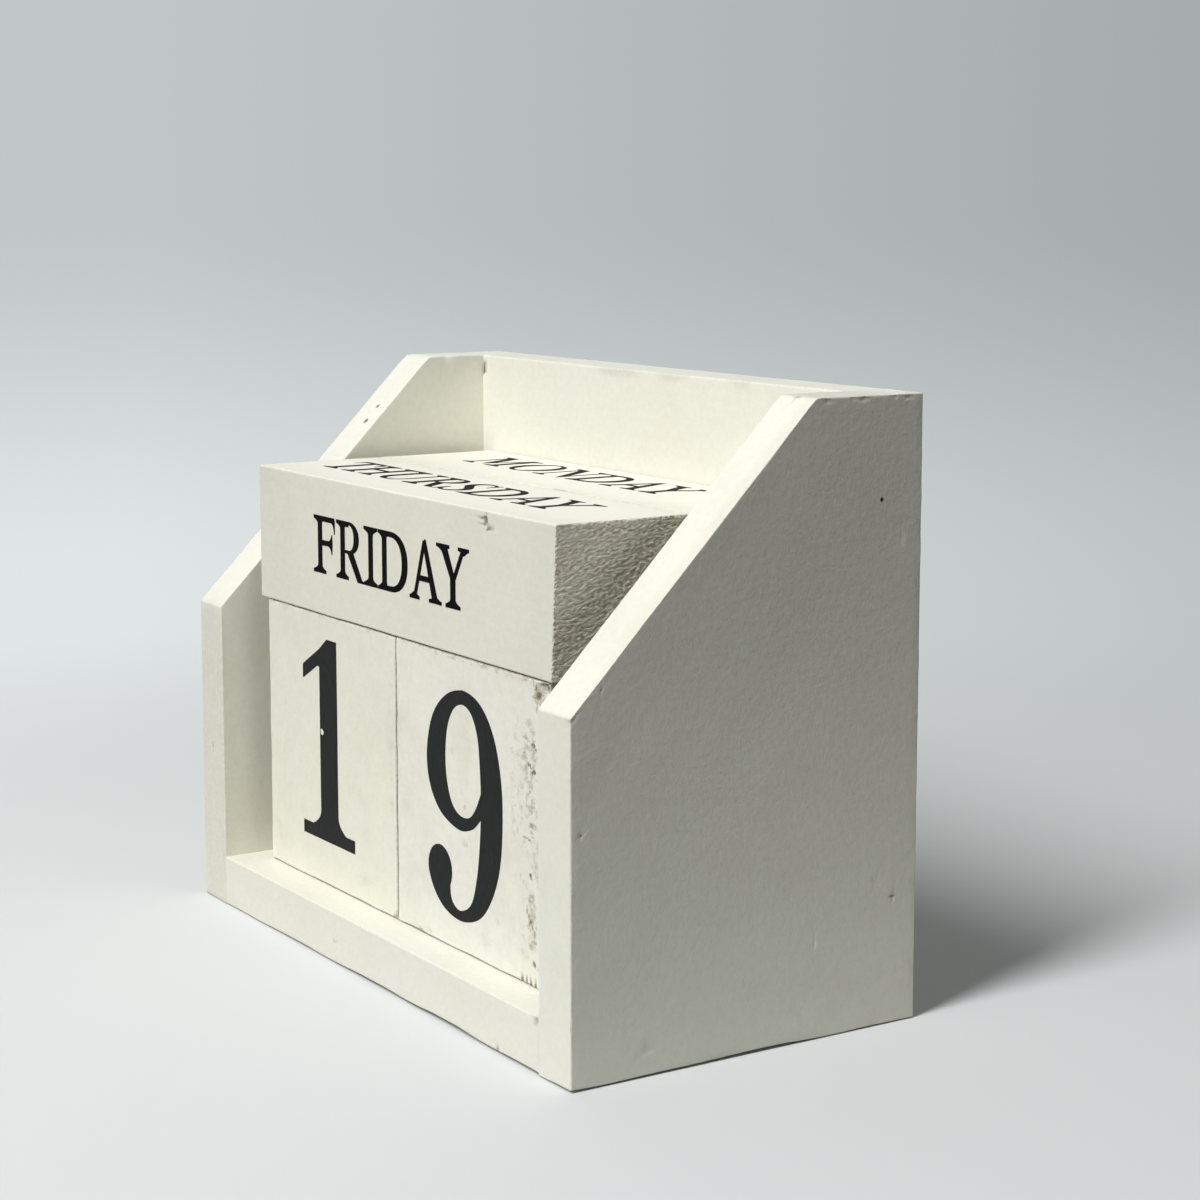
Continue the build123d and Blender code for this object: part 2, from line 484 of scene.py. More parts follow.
paintedFootShade = (0, 0, 0, 300, 300, 0.3, 0, 0.5)  # painted shadow along the foot, where it stands
baseMarks = [
    paintedFootShade,
    (56.6, -32.9, 8.9, 0.6, 0.7, 0.7, 0.35, 0.8),  # chip in the sill beside the right panel
    (44.8, -33.2, 0.8, 0.5, 0.5, 0.4, 0.12, 0.7),
    # painted shade: the sill's top in front of the blocks, darker and yellower
    (0, -30, 9.6, 90, 8, 0.9, 0, 0.08),
    (-12, -33.2, 4, 0.35, 0.5, 0.3, 0.06, 0.4),
    (21, -31, 9.3, 1.6, 1.2, 0.5, 0, 0.1),
]


def easingOf(free):
    # rounding of an edge, from 0 where another board butts on it to 1 where it is free
    return caseLook["joint"] + (caseLook["easing"] - caseLook["joint"]) * free


def baseEasing(points):
    # only the front edges are free, and they tighten where they meet the side panels
    front = smoothStep(-points[:, 1], *[-(baseLow[1] + far) for far in caseLook["band"]])
    ends = 1 - smoothStep(np.abs(points[:, 0]), *[baseHigh[0] - far for far in caseLook["endBand"]])
    return easingOf(front * (0.3 + 0.7 * ends))


makeBoard("baseBoard", "base_board", 11, baseEasing, baseMarks)

backMarks = [
    paintedFootShade,
    (-57, 24, 100.5, 0.5, 0.7, 1.6, 0.25, 0.9),  # dark gap at the left end of its top
    (-8, 24.4, 102.4, 9, 1.5, 1.3, 0, 0.16),  # handling along the top edge
    (9, 24.4, 102.6, 6, 1.5, 0.9, 0, 0.14),
    (30, 24.2, 102.5, 3, 1.2, 0.7, 0, 0.12),
    (-42, 33.3, 4.65, 1, 0.5, 0.9, 0.07, 0.12),  # filler over the rear pins
    (0, 33.3, 4.65, 1.1, 0.5, 1, 0.06, 0.1),
    (42, 33.3, 4.65, 0.9, 0.5, 1, 0.08, 0.14),
    (18, 33.3, 61, 0.5, 0.4, 1.8, 0.05, 0.5),
    (-31, 33.3, 30, 0.4, 0.4, 0.4, 0.12, 0.8),
]


def backEasing(points):
    # the top edges are free
    return easingOf(smoothStep(points[:, 2], *[backHigh[2] - far for far in caseLook["band"]]))


makeBoard("backPanel", "back_panel", 21, backEasing, backMarks)

armLook = {
    "frontHeight": 57.4 * mm,
    "topDepth": 21.5 * mm,
    "turn": 0.25 * mm,  # softness of the bend between the slope and the level top
    "butted": 4 * mm,  # how far the joints with base and back tighten the edges
    "buttedRear": 2 * mm,
    "uneven": 0.25,
    "unevenSize": 9 * mm,
}


def armTop(y):
    # height of an arm's top: the lower of the slope and the level stretch, joined softly
    rise = (armHigh[2] - armLook["frontHeight"]) / (armHigh[1] - armLook["topDepth"] - armLow[1])
    slope = armLook["frontHeight"] + (y - armLow[1]) * rise
    apart = np.abs(slope - armHigh[2])
    return np.minimum(slope, armHigh[2]) - armLook["turn"] * np.log1p(np.exp(-apart / armLook["turn"]))


def bendArm(points):
    bent = points.copy()
    bent[:, 2] *= armTop(points[:, 1]) / armHigh[2]
    return bent


def flattenArm(points):
    box = points.copy()
    box[:, 2] *= armHigh[2] / armTop(points[:, 1])
    return box


def armEasing(side):
    # free all round outside; inside free above the sill in front, on the slope and on the top
    def easing(points):
        real = bendArm(points)
        deep = armLook["butted"]
        inner = side * points[:, 0] < baseHigh[0] + deep
        foot = (real[:, 2] < baseHigh[2]) & (points[:, 1] < baseLow[1] + deep)
        rear = points[:, 1] > backLow[1] + armLook["buttedRear"]
        butted = inner & (foot | rear | (real[:, 2] < deep))
        uneven = 1 + armLook["uneven"] * waves(real, 5 + side, armLook["unevenSize"])
        return np.where(butted, caseLook["joint"], caseLook["easing"] * uneven.clip(0.5, 1))
    return easing


outer = armHigh[0] / mm
leftMarks = [
    paintedFootShade,
    (-60.8, 2.4, 93.5, 0.48, 0.38, 0.56, 0.2, 1.02),  # two pits in the slope
    (-60.7, -0.3, 90.7, 0.62, 0.52, 0.64, 0.3, 1.05),
    (-62, -33.3, 26, 9, 3, 44, 0, 0.14),  # front edge darkened: painted shade
    (-57.2, 16, 102.8, 0.5, 1, 0.5, 0.25, -0.8),
    (-outer, -21.3, 4.65, 0.5, 1, 0.9, 0.06, 0.12),
    (-outer, 10, 4.65, 0.5, 0.9, 1, 0.07, 0.1),
    (-outer, 25.1, 24, 0.5, 0.9, 0.9, 0.05, 0.12),
    (-outer, 25.1, 86.3, 0.5, 1, 0.9, 0.07, 0.14),
    (-outer, -6, 40, 0.4, 1.6, 0.25, 0.06, 0.5),
    (-outer, 14, 66, 0.4, 0.3, 0.35, 0.12, 0.9),
    (-62, -33.2, 30, 0.35, 0.5, 0.5, 0.1, 0.6),
]
rightMarks = [
    paintedFootShade,
    (outer, 25.1, 86.3, 0.8, 0.3, 0.34, 0.5, 2.2),  # pin hole left unfilled, its inside painted black as painted shade
    (outer, -19.5, 4.3, 0.5, 1.2, 0.8, 0.07, 0.06),  # filled pin holes
    (outer, 10, 4.65, 0.5, 0.9, 1, 0.05, 0),
    (outer, 25.1, 24, 0.5, 0.9, 0.9, 0.04, 0),
    (outer, 28.4, 21.3, 0.5, 0.6, 0.22, 0.07, 1),  # dark nick
    (outer, 12.6, 15.8, 0.5, 0.16, 0.95, 0.05, -0.9),  # pale scratch
    (outer, 29.3, 79.5, 0.5, 0.5, 1.3, 0.02, -0.5),
    (outer, -27.8, 61.2, 0.4, 0.22, 0.26, 0.05, 0.6),
    (outer, -31.4, 39.5, 0.4, 0.3, 0.2, 0.1, 0.6),
    (66.5, 14.2, 102.4, 0.4, 0.8, 0.35, 0.1, -0.4),  # chips along the top edge
    (66.5, 19, 102.5, 0.4, 0.6, 0.3, 0.09, -0.4),
    (66.5, 21.4, 102.5, 0.4, 1, 0.35, 0.1, -0.4),
    (66.5, 27.6, 102.6, 0.4, 0.6, 0.3, 0.09, -0.4),
    (66.5, 30.4, 102.4, 0.4, 1.1, 0.4, 0.12, -0.4),
    (outer, 5, 103, 3, 90, 52, 0, 0.08),  # painted shade: darker towards the top
    (61.9, 18.5, 103.3, 14, 13, 0.75, 0, 0.2),  # painted shade along its level top
    (61.6, 12, 103, 0.8, 0.35, 0.5, 0.12, 0.9),
    (58, 24, 103, 0.7, 0.5, 0.5, 0.15, 0.9),
    (66.3, -1, 89.6, 0.4, 0.5, 0.4, 0.07, 0.2),
    (66.2, -33, 57, 0.5, 0.5, 0.5, 0.1, 0.3),
]
makeBoard("leftPanel", "left_side_panel", 31, armEasing(-1), leftMarks, bendArm, flattenArm)
makeBoard("rightPanel", "right_side_panel", 41, armEasing(1), rightMarks, bendArm, flattenArm)
for side in ("left", "right", "rear"):
    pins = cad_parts[side + "_panel_pins"]
    pins.data.materials.clear()
    pins.data.materials.append(pinSteel)
print("case made")


blockLook = {
    **caseLook,
    "step": 1.4 * mm,
    "easing": 0.5 * mm,
    "joint": 0.2 * mm,
    "waver": 0.03 * mm,
    "nick": 0.2 * mm,
    "lift": 0.16 * mm,
    "tilt": (-1, -0.9),  # so that the whole underside is lifted
    "uneven": 0.2,
    "unevenSize": 8 * mm,
}


def blockEasing(points):
    uneven = blockLook["uneven"] * waves(points, 55, blockLook["unevenSize"])
    return blockLook["easing"] * (0.8 + uneven).clip(0.55, 1)


def makeBlock(name, node, seed, material, marks, scuffs):
    # marks on the block's front are given as (right of its left side, above its underside,
    # half width, half height, depth, stain), and painted shade, with some grime, is added along its
    # front edges; scuffs are (right, above, half width, half height, heaviness)
    low, high = (np.array(corner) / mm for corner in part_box(node))
    front = [
        (low[0] + right, low[1], low[2] + above, wide, 0.5, tall, deep, dark)
        for right, above, wide, tall, deep, dark in marks
    ]
    worn = [
        (low[0] + right, low[1], low[2] + above, wide, 0.8, tall, 0, heavy)
        for right, above, wide, tall, heavy in scuffs
    ]
    middle = (low + high) / 2
    # painted shade in the gaps where the block meets its neighbours, with some grime: along both sides
    # near the front and along the lower and upper front edges
    for side in (low[0], high[0]):
        front.append((side, low[1] + 1.9, middle[2], 0.4, 2.4, 60, 0, 0.6))
    for end in (low[2], high[2]):
        front.append((middle[0], low[1] + 1.2, end, 90, 1.7, 0.42, 0, 0.7))
    makeBoard(name, node, seed, blockEasing, front, look=blockLook, material=material, body=node,
              scuffs=worn)


makeBlock("tensBlock", "tens_block", 51, tensPaint, [
    (38.5, 4.5, 2.2, 1, 0, 0.1),
    (49.4, 0.3, 0.7, 0.5, 0.25, 0.8),
    (7, 31, 0.3, 0.3, 0.05, 0.3),
    (33, 20, 1.6, 1, 0, 0.05),
], [
    (25, 49.4, 40, 0.8, 0.3),
    (48.5, 30, 1.5, 20, 0.25),
    (38, 5, 6, 3, 0.2),
    (4, 4, 4, 6, 0.2),
])
makeBlock("unitsBlock", "units_block", 61, unitsPaint, [
    # the first mark, a faint band darker along the right edge beside the right panel, is painted
    # shade; the rest are chips, scuffs and brown marks
    (44, 22, 4.5, 26, 0, 0.035), (46.8, 47.4, 0.88, 0.72, 0.17, 1),
    (46.2, 48.5, 0.28, 0.55, 0.1, 0.87), (49.3, 49.2, 1.21, 0.77, 0.42, 1),
    (45.3, 39.2, 0.66, 0.46, 0.12, 0.87), (43, 38.3, 1.04, 0.46, 0.05, 0.32),
    (43, 39.9, 0.88, 0.29, 0.06, 0.22), (41.1, 36.8, 0.88, 0.35, 0.04, 0.2),
    (43.9, 35.8, 0.55, 0.18, 0.11, 0.9), (44.6, 35.4, 0.44, 0.2, 0.11, 0.72),
    (45.4, 34.9, 0.68, 0.37, 0.17, 1), (44.9, 34.1, 0.88, 0.22, 0.04, 0.29),
    (41.6, 32, 0.88, 0.68, 0.05, 0.26), (44.5, 32.4, 0.55, 0.29, 0.06, 0.32),
    (44.1, 31.5, 0.55, 0.29, 0.06, 0.41), (44.8, 30.1, 0.28, 0.66, 0.05, 0.41),
    (44.6, 29.2, 0.66, 0.24, 0.02, 0.29), (44.8, 26, 0.55, 0.31, 0.08, 0.61),
    (44.6, 25, 0.66, 0.35, 0.04, 0.35), (39.2, 24, 0.66, 0.46, 0.02, 0.14),
    (43, 23.9, 1.43, 0.18, 0.07, 0.43), (43.9, 23.7, 0.55, 0.22, 0.1, 0.72),
    (44.2, 18, 0.46, 0.57, 0.18, 1), (41.2, 17.3, 0.24, 0.66, 0.04, 0.26),
    (42.1, 16.7, 0.55, 0.24, 0.04, 0.23), (44, 13.8, 0.44, 0.28, 0.06, 0.43),
    (43.1, 12.1, 0.29, 0.77, 0.08, 0.61), (43.7, 11.2, 0.39, 0.55, 0.1, 0.65),
    (44.2, 10.4, 0.5, 0.55, 0.14, 0.9), (44.7, 9.6, 0.33, 0.66, 0.1, 0.58),
    (45.5, 13.3, 0.55, 0.66, 0.04, 0.29), (44.2, 9.1, 0.33, 0.35, 0.05, 0.36),
    (45.3, 8.8, 0.24, 0.57, 0.07, 0.51), (45.5, 7.4, 0.88, 0.46, 0.07, 0.52),
    (44.2, 6.5, 0.66, 0.46, 0.04, 0.23), (45.3, 3.9, 0.61, 0.61, 0.14, 0.9),
    (41.7, 0.2, 0.37, 0.66, 0.14, 1), (43, 0.2, 0.37, 0.66, 0.14, 1),
    (44.3, 0.2, 0.44, 0.66, 0.14, 1), (45.6, 0.3, 0.35, 0.55, 0.12, 1),
    (34, 8, 0.44, 0.5, 0.02, 0.17), (23.4, 25, 0.5, 0.39, 0.04, 0.41),
    (23.6, 18.6, 0.99, 0.39, 0.01, 0.17), (30, 3.9, 1.43, 1.1, 0, 0.12),
    (19.4, 33.6, 0.55, 0.88, 0, 0.12), (12.2, 25.6, 0.33, 0.55, 0.1, 0.29),
], [
    (44.2, 37, 3, 7.5, 0.6), (44.6, 28.5, 2.4, 6.5, 0.45),
    (44.7, 10.5, 2, 7, 0.5), (46, 19.5, 1.8, 7, 0.4),
    (47.2, 47.8, 2.4, 2.6, 1), (42, 32, 6, 14, 0.3),
    (43.5, 9, 4, 10, 0.25), (25, 49.5, 40, 0.8, 0.4),
    (8, 0.6, 6, 0.9, 0.5),
])

barShape = {
    "step": 3.0 * mm,
    "endStep": (0.23 * mm, 0.125 * mm),
    "easing": 0.36 * mm,
    "waver": 0.025 * mm,
    "waverSize": 20 * mm,
    "nick": 0.2 * mm,
    "nickSize": (6 * mm, 2 * mm, 2 * mm),
    "nicked": (1.7, 2.7),
    "slant": 1.4 * mm,  # right end sawn out of square
    "slantBand": (3 * mm, 1 * mm),
    "grain": 0.030 * mm,  # height of the sawn ends' ridges
    "ridge": (60 * mm, 1.15 * mm, 0.42 * mm),
    "wander": 0.12 * mm,  # how far they wander up and down
    "wanderSize": (60 * mm, 2 * mm, 2 * mm),
    "lumpSize": 1.3 * mm,
    "curl": 0.26 * mm,  # rounding of the paint's ragged edge round the ends
    "curlSize": 0.65 * mm,
    "lift": 0.12 * mm,
}


def makeBar(name, node, body, seed, marks=()):
    low, high = (np.array(corner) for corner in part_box(node))
    fine = fineLines(marks, 0, low[0], high[0])
    xs = spacedLines(low[0], high[0], barShape["step"], barShape["easing"], fine)
    ys = spacedLines(low[1], high[1], barShape["endStep"][0], barShape["easing"])
    zs = spacedLines(low[2], high[2], barShape["endStep"][1], barShape["easing"])
    raw, quads = boxSkin(xs, ys, zs)
    onEnd = (raw[:, 0] == low[0]) | (raw[:, 0] == high[0])
    points, normals, lean = easeSection(raw, low, high, barShape["easing"])
    slow, chip = weather(points, seed, barShape)
    nick = chip * lean
    pit, stainAndShade = wearAndShade(points, marks, seed + 2)
    points = points - normals * (slow + pit + barShape["nick"] * nick)[:, None]
    liftFoot(points, low, seed + 3, barShape["lift"])
    # sawn end grain: fine level ridges that wander and break off; the paint curls over the
    # outline of the end with a ragged rim
    wander = barShape["wander"] * waves(points, seed + 7, barShape["wanderSize"])
    moved = points + np.outer(wander, (0, 0, 1))
    ridges = waves(moved, seed + 8, barShape["ridge"], 160)
    lumps = waves(points, seed + 9, barShape["lumpSize"], 60)
    height = ridges + 0.5 * np.exp(-(ridges / 0.4)**2) + 0.4 * lumps
    inset = np.minimum(raw - low, high - raw)[:, 1:].min(1)
    ragged = (0.36 + 0.36 * waves(points, seed + 5, barShape["curlSize"], 60)).clip(0.06, 1.1) * mm
    curl = (1 - inset / ragged).clip(0, 1)
    inward = np.sign((low[0] + high[0]) / 2 - points[:, 0])
    points[:, 0] += inward * barShape["grain"] * (2.5 - height.clip(-2.5, 2.5)) * onEnd * (1 - curl)
    nearEnd = 1 - np.minimum(raw[:, 0] - low[0], high[0] - raw[:, 0]) / (1 * mm)
    points[:, 0] += inward * barShape["curl"] * curl**2 * nearEnd.clip(0, 1)
    share = smoothStep(points[:, 0], *[high[0] - far for far in barShape["slantBand"]])
    points[:, 0] -= barShape["slant"] * (high[2] - points[:, 2]) / (high[2] - low[2]) * share
    sawn = onEnd * (0.5 + 0.5 * smoothStep(height, -1.6, 1.8)) * (1 - smoothStep(curl, 0.2, 0.6))
    values = {"stainAndShade": stainAndShade, "edge": lean, "sawn": sawn}
    makePiece(name, points, quads, values, barPaint, body, node)


makeBar("frontBar", "front_weekday_bar", "front_bar", 71, [
    (-1, -25, 59.3, 90, 1.6, 0.4, 0, 0.9),  # painted shade along the lower front edge, where it sits on the blocks
    (-1, -1.4, 84, 90, 0.3, 0.9, 0, 0.25),  # painted shade in the seam between the bars
    (30.2, -26.4, 82.7, 0.75, 0.5, 0.95, 0.14, 1),  # brown nick near the top edge
    (30.9, -26.4, 81.6, 0.5, 0.5, 0.75, 0.09, 0.8),
    (11.6, -1.6, 84.3, 1.4, 0.5, 0.6, 0.1, 0.7),
    (-50.4, -19.6, 84.3, 0.4, 0.3, 0.5, 0.05, 0.5),
    (-1, -13.9, 84.5, 90, 15, 0.9, 0, -0.8),  # painted highlight: paler top
    (-55, -26.4, 72, 22, 1, 40, 0, 0.06),  # front darker towards both ends
    (53, -26.4, 70, 12, 1, 40, 0, 0.04),
])
makeBar("rearBar", "rear_weekday_bar", "rear_bar", 81, [
    # painted shade in the seam between the bars
    (-1, -1.2, 84, 90, 0.3, 0.9, 0, 0.25),
    (12.6, -1.1, 84.2, 1.8, 0.7, 0.6, 0.12, 0.7),
    (45, 3, 84.3, 0.5, 0.4, 0.5, 0.05, 0.4),
    # painted highlight: paler top
    (-1, 11.3, 84.5, 90, 15, 0.9, 0, -0.8),
])
print("blocks and bars made")


def smoothLine(points, each=8):
    # smooth line through the points: cubic pieces whose slope at a point is that of its
    # neighbours' chord, with the curve carried on beyond the two ends
    p = np.array(points, float)
    p = np.vstack([3 * p[0] - 3 * p[1] + p[2], p, 3 * p[-1] - 3 * p[-2] + p[-3]])
    t = np.linspace(0, 1, each, endpoint=False)[:, None, None]
    a, b, c, d = p[:-3], p[1:-2], p[2:-1], p[3:]
    bend, twist = a - 2.5 * b + 2 * c - d / 2, 1.5 * (b - c) + (d - a) / 2
    curve = b + t * (c - a) / 2 + t**2 * bend + t**3 * twist
    return np.vstack([curve.transpose(1, 0, 2).reshape(-1, 2), p[-2]])


def ribbon(outer, inner):
    # stroke between two smooth lines that run the same way
    return np.vstack([smoothLine(outer), smoothLine(inner)[::-1]])


def arc(cx, cy, rx, ry, start, end, power=2.0, count=28):
    # stretch of an ellipse, in degrees anticlockwise from the right; a power above 2 squares it
    turn = np.radians(np.linspace(start, end, count))
    c, s = np.cos(turn), np.sin(turn)
    x = cx + rx * np.sign(c) * np.abs(c)**(2 / power)
    return np.stack([x, cy + ry * np.sign(s) * np.abs(s)**(2 / power)], 1)


def bow(cx, cy, outer, inner, start, end, shift=0.0, power=2.0):
    # stroke between two ellipses given by their half sizes
    return np.vstack([
        arc(cx, cy, *outer, start, end, power),
        arc(cx + shift, cy, *inner, start, end, power)[::-1],
    ])


def ring(cx, cy, outer, inner, shift=0.0):
    # a closed ring as a left and a right bow that overlap
    return [bow(cx, cy, outer, inner, start, start + 200, shift) for start in (80, -100)]


def dot(cx, cy, radius):
    return arc(cx, cy, radius, radius, 0, 360)[:-1]


def slab(x0, x1, y0, y1):
    return [(x0, y0), (x1, y0), (x1, y1), (x0, y1)]


capital = 10.4  # height of the weekday names
hair = 0.98  # their thin strokes
armLine = 5.1  # height of the middle arms


def stem(x0, x1, feet=(0, 0), heads=(0, 0), low=0, high=capital, thin=0.58, curve=1.0, swing=1.0):
    # upright whose sides swing out into serifs: a serif's reach holds for its thickness, and
    # falls off beyond it by a power of the height left in the curve
    near = np.concatenate([[0, thin], thin + 0.001 + curve * np.linspace(0, 1, 7)])
    y = np.concatenate([low + near * any(feet), high - near[::-1] * any(heads)])
    apart = np.stack([y - low, high - y])
    falling = swing * (1 - (apart - thin) / curve).clip(0, 1)**2.2
    foot, head = np.where(apart <= thin + 1e-6, 1, falling)
    left = x0 - feet[0] * foot - heads[0] * head
    right = x1 + feet[1] * foot + heads[1] * head
    return np.vstack([np.stack([left, y], 1), np.stack([right, y], 1)[::-1]])


def slant(x0, low, x1, high, width):
    # straight stroke whose width is measured level
    half = width / 2
    return [(x0 - half, low), (x0 + half, low), (x1 + half, high), (x1 - half, high)]


def serif(x0, x1, y, way, thin=0.58, hump=0.75):
    # level serif on the end of a slanted stroke, thickest where the stroke meets it
    u = np.linspace(0, 1, 13)
    rise = thin + hump * np.exp(-((u - 0.5) / 0.26)**2) * (np.abs(u - 0.5) < 0.5)
    return np.vstack([np.stack([x0 + (x1 - x0) * u, y + way * rise], 1), [(x1, y), (x0, y)]])


def beak(x, y, way, drop):
    # pointed serif at the end of a level arm, hanging down where way is -1, standing up at 1
    hollow = smoothLine([(x - 1.6, y), (x - 0.75, y + way * 0.45), (x - 0.35, y + way * drop)])
    back = y - way * 0.6
    return np.vstack([hollow, [(x + 0.02, y + way * drop), (x + 0.12, back), (x - 1.6, back)]])


# each letter is (advance, outlines in millimetres); outlines may overlap
letters = {
    "A": (9.3, [
        slant(1.75, 0, 5.3, capital - 0.2, 1.15),
        [(5, 9.8), (5.35, 10.52), (5.8, capital), (10, 0), (8, 0), (4.9, 9)],
        serif(0, 3.5, 0, 1),
        serif(6.7, 11.1, 0, 1),
        slab(2.7, 7.9, 3.25, 3.25 + hair),
    ]),
    "D": (11.3, [
        stem(1.5, 3.25, (1.5, 0.4), (1.5, 0.4)),
        bow(4.6, capital / 2, (6.1, capital / 2), (4, capital / 2 - hair), -90, 90, 0, 2.25),
        slab(3.2, 4.65, capital - hair, capital),
        slab(3.2, 4.65, 0, hair),
    ]),
    "E": (9.3, [
        stem(1.7, 3.45, (1.8, 0.6), (1.6, 0.6)),
        slab(3, 8.1, capital - hair, capital),
        beak(8.2, capital - hair, -1, 1.9),
        slab(3, 7, armLine, armLine + hair),
        beak(7.2, armLine + hair, 1, 1.15),
        beak(7.2, armLine, -1, 1.25),
        slab(3, 8.6, 0, hair),
        beak(8.8, hair, 1, 2.1),
    ]),
    "F": (8.8, [
        stem(1.7, 3.45, (1.8, 1.5), (1.6, 0.6)),
        slab(3, 8.3, capital - hair, capital),
        beak(8.4, capital - hair, -1, 1.9),
        slab(3, 7.2, armLine, armLine + hair),
        beak(7.4, armLine + hair, 1, 1.25),
        beak(7.4, armLine, -1, 1.35),
    ]),
    "H": (11.7, [
        stem(1.5, 3.25, (1.5, 1.4), (1.5, 1.4)),
        stem(8.1, 9.85, (1.4, 1.5), (1.4, 1.5)),
        slab(3, 8.4, 5, 5 + hair),
    ]),
    "I": (5.3, [stem(1.75, 3.5, (1.7, 1.7), (1.7, 1.7))]),
    "M": (13.6, [
        stem(1.75, 2.5, (1.5, 1.3), (1.5, 0)),
        stem(9.7, 11.45, (1.4, 1.5), (0, 1.5)),
        [(1.6, capital), (3.9, capital), (7.3, 2.9), (6.4, 0.6)],
        [(6.4, 0.6), (6.8, 2.6), (9.6, capital), (10.4, capital)],
    ]),
    "N": (11.3, [
        stem(1.75, 2.5, (1.5, 1.3), (1.5, 0)),
        stem(8.7, 9.45, (0, 0), (1.3, 1.5)),
        [(1.5, capital), (3.8, capital), (9.45, 1.6), (9.45, -0.2), (8.9, -0.2)],
    ]),
    "O": (11.7, ring(5.7, capital / 2, (5.35, capital / 2 + 0.15), (3.35, capital / 2 - 0.5))),
    "R": (10.6, [
        stem(1.75, 3.5, (1.7, 1.4), (1.6, 0.4)),
        bow(4.9, 7.55, (3.95, 2.85), (1.95, 2.25), -90, 90, 0, 2.2),
        slab(3.2, 4.95, capital - hair, capital),
        slab(3.2, 4.95, 4.7, 5.3),
        [(4.3, 4.9), (6.6, 5.1), (10, 0.55), (10.9, 0.3), (10.9, 0), (8.2, 0)],
    ]),
    "S": (8.8, [
        ribbon([(7.2, 9.1), (6.2, 10.1), (4.4, 10.55), (2, 10), (0.75, 8.1), (1.4, 6.2), (3.6, 4.75),
                (5.6, 3.3), (5.9, 1.7), (4.6, 0.55), (2.9, 0.75), (1.7, 2)],
               [(7, 8.6), (6.1, 9.5), (4.5, 9.9), (3.1, 9.5), (2.55, 8.3), (3.3, 7), (5.3, 5.7),
                (7.3, 4.1), (7.75, 2.2), (6.3, 0.25), (3.8, -0.15), (1.5, 0.6)]),
        [(6.9, 7.1), (7.3, 7.1), (7.35, 10.45), (6.95, 10.45), (6.4, 9.2)],
        [(1.25, 3.5), (0.85, 3.5), (0.75, -0.1), (1.15, -0.1), (1.85, 1.3)],
    ]),
    "T": (9.3, [
        stem(3.8, 5.6, (1.6, 1.6)),
        slab(0.55, 8.85, capital - hair, capital),
        beak(8.9, capital - hair, -1, 2),
        beak(8.9, capital - hair, -1, 2) * (-1, 1) + (9.4, 0),
    ]),
    "U": (11.6, [
        stem(1.5, 3.3, (0, 0), (1.5, 1.4), 3.6),
        stem(8.5, 9.3, (0, 0), (1.5, 1.4), 3.6),
        ribbon([(1.5, 3.8), (1.9, 1.6), (3.3, 0.2), (5.4, -0.15), (7.6, 0.35), (8.9, 1.8), (9.3, 3.8)],
               [(3.3, 3.8), (3.65, 2), (4.5, 0.95), (5.9, 0.6), (7.4, 1.05), (8.3, 2.2), (8.5, 3.8)]),
    ]),
    "W": (15, [
        [(1.2, capital), (3.5, capital), (5.9, 2.6), (5.5, -0.15), (4.9, -0.15)],
        slant(5.2, -0.15, 8.05, capital - 0.1, 1),
        [(6.6, capital), (8.8, capital), (11.2, 2.6), (10.8, -0.15), (10.2, -0.15)],
        slant(10.5, -0.15, 13.3, capital, 1),
        serif(0, 4.5, capital, -1),
        serif(5.6, 9.6, capital, -1),
        serif(11.6, 15.2, capital, -1),
    ]),
    "Y": (11, [
        [(1.1, capital), (3.5, capital), (6.25, 5.2), (5.9, 4.3), (4.65, 4.9)],
        slant(5.95, 4.9, 9.2, capital, 1.25),
        stem(4.65, 6.45, (1.6, 1.6), high=5.6),
        serif(0, 4.5, capital, -1),
        serif(7.3, 11, capital, -1),
    ]),
}

